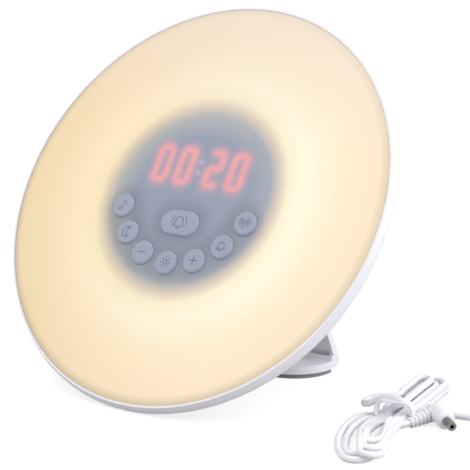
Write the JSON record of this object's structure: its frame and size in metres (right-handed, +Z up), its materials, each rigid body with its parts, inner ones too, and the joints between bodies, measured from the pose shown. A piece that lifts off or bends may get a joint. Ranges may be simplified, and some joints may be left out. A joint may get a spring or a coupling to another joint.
{
  "type": "sunrise alarm clock",
  "caption": "Round wake-up light that leans back on a stand, with a milky light cover, a red digital display, push keys, a rear speaker and a tied power lead.",
  "frame": {"origin": "on the table, at the centre of the footprint box of the clock without its lead", "axes": "+X to the viewer's right along the clock's width, +Y away from the viewer, from the face to the stand, +Z up"},
  "size_m": [0.2095, 0.1251, 0.1451],
  "materials": {
    "case_white": "fine satin moulding, white",
    "milky_cover": "milky light-scattering plastic, satin",
    "white_inside": "matt white",
    "housing_grey": "matt grey moulding",
    "display_black": "glossy black",
    "display_red": "lit red, diffusing",
    "board_green": "solder mask",
    "board_white": "white solder mask",
    "chip_black": "matt black",
    "spring_steel": "satin",
    "warm_phosphor": "phosphor yellow",
    "tinned_steel": "satin tin plate",
    "cell_steel": "satin stainless",
    "contact_brass": "gold flash",
    "cone_black": "matt paper",
    "magnet_grey": "matt ferrite",
    "screw_steel": "zinc plated",
    "foot_rubber": "matt",
    "wire_red": "PVC sleeve",
    "ribbon_grey": "PVC ribbon",
    "key_grey": "milky blue-grey, satin",
    "lead_white": "soft PVC",
    "plug_nickel": "nickel plate"
  },
  "bodies": {
    "clock": {"back_shell": "case_white", "light_cover": "milky_cover", "reflector": "white_inside", "display_housing": "housing_grey", "display_module": "display_black", "display_bars": "display_red", "control_board": "board_green", "switch_housings": "spring_steel", "control_chips": "chip_black", "light_ring_board": "board_white", "warm_lights": "warm_phosphor", "colour_lights": "white_inside", "main_board": "board_green", "main_chips": "chip_black", "capacitors": "chip_black", "radio_shield": "tinned_steel", "power_inlet": "chip_black", "inlet_pin": "tinned_steel", "backup_cell": "cell_steel", "cell_contacts": "contact_brass", "speaker_basket": "tinned_steel", "speaker_cone": "cone_black", "speaker_magnet": "magnet_grey", "speaker_screws": "screw_steel", "case_screws": "screw_steel", "housing_screws": "screw_steel", "board_screws": "screw_steel", "ring_screws": "screw_steel", "stand_screws": "screw_steel", "stand": "case_white", "foot_pad": "foot_rubber", "inner_wires": "wire_red", "board_ribbon": "ribbon_grey", "lead_hank": "lead_white", "lead_tails": "lead_white", "lead_tie": "lead_white", "strain_relief": "lead_white", "plug_body": "lead_white", "plug_tip": "plug_nickel", "usb_body": "lead_white", "usb_shell": "plug_nickel"},
    "key_sound_body": {"key_sound": "key_grey", "plunger_sound": "chip_black"},
    "key_sleep_body": {"key_sleep": "key_grey", "plunger_sleep": "chip_black"},
    "key_minus_body": {"key_minus": "key_grey", "plunger_minus": "chip_black"},
    "key_light_body": {"key_light": "key_grey", "plunger_light": "chip_black"},
    "key_plus_body": {"key_plus": "key_grey", "plunger_plus": "chip_black"},
    "key_alarm_body": {"key_alarm": "key_grey", "plunger_alarm": "chip_black"},
    "key_radio_body": {"key_radio": "key_grey", "plunger_radio": "chip_black"},
    "key_snooze_body": {"key_snooze": "key_grey", "plunger_snooze": "chip_black"},
    "cell_door_body": {"cell_door": "case_white"}
  },
  "joints": [
    {"name": "sound_press", "type": "slide", "parent": "clock", "child": "key_sound_body", "axis": [0, 0.8348, -0.5505], "range_m": [0, 0.0005], "stiffness_N_per_m": 400},
    {"name": "sleep_press", "type": "slide", "parent": "clock", "child": "key_sleep_body", "axis": [0, 0.8348, -0.5505], "range_m": [0, 0.0005], "stiffness_N_per_m": 400},
    {"name": "minus_press", "type": "slide", "parent": "clock", "child": "key_minus_body", "axis": [0, 0.8348, -0.5505], "range_m": [0, 0.0005], "stiffness_N_per_m": 400},
    {"name": "light_press", "type": "slide", "parent": "clock", "child": "key_light_body", "axis": [0, 0.8348, -0.5505], "range_m": [0, 0.0005], "stiffness_N_per_m": 400},
    {"name": "plus_press", "type": "slide", "parent": "clock", "child": "key_plus_body", "axis": [0, 0.8348, -0.5505], "range_m": [0, 0.0005], "stiffness_N_per_m": 400},
    {"name": "alarm_press", "type": "slide", "parent": "clock", "child": "key_alarm_body", "axis": [0, 0.8348, -0.5505], "range_m": [0, 0.0005], "stiffness_N_per_m": 400},
    {"name": "radio_press", "type": "slide", "parent": "clock", "child": "key_radio_body", "axis": [0, 0.8348, -0.5505], "range_m": [0, 0.0005], "stiffness_N_per_m": 400},
    {"name": "snooze_press", "type": "slide", "parent": "clock", "child": "key_snooze_body", "axis": [0, 0.8348, -0.5505], "range_m": [0, 0.0005], "stiffness_N_per_m": 400},
    {"name": "cell_door_twist", "type": "hinge", "parent": "clock", "child": "cell_door_body", "pos_m": [-0.0315, 0.02442, 0.05744], "axis": [0, -0.8348, 0.5505], "range_deg": [0, 45]}
  ]
}
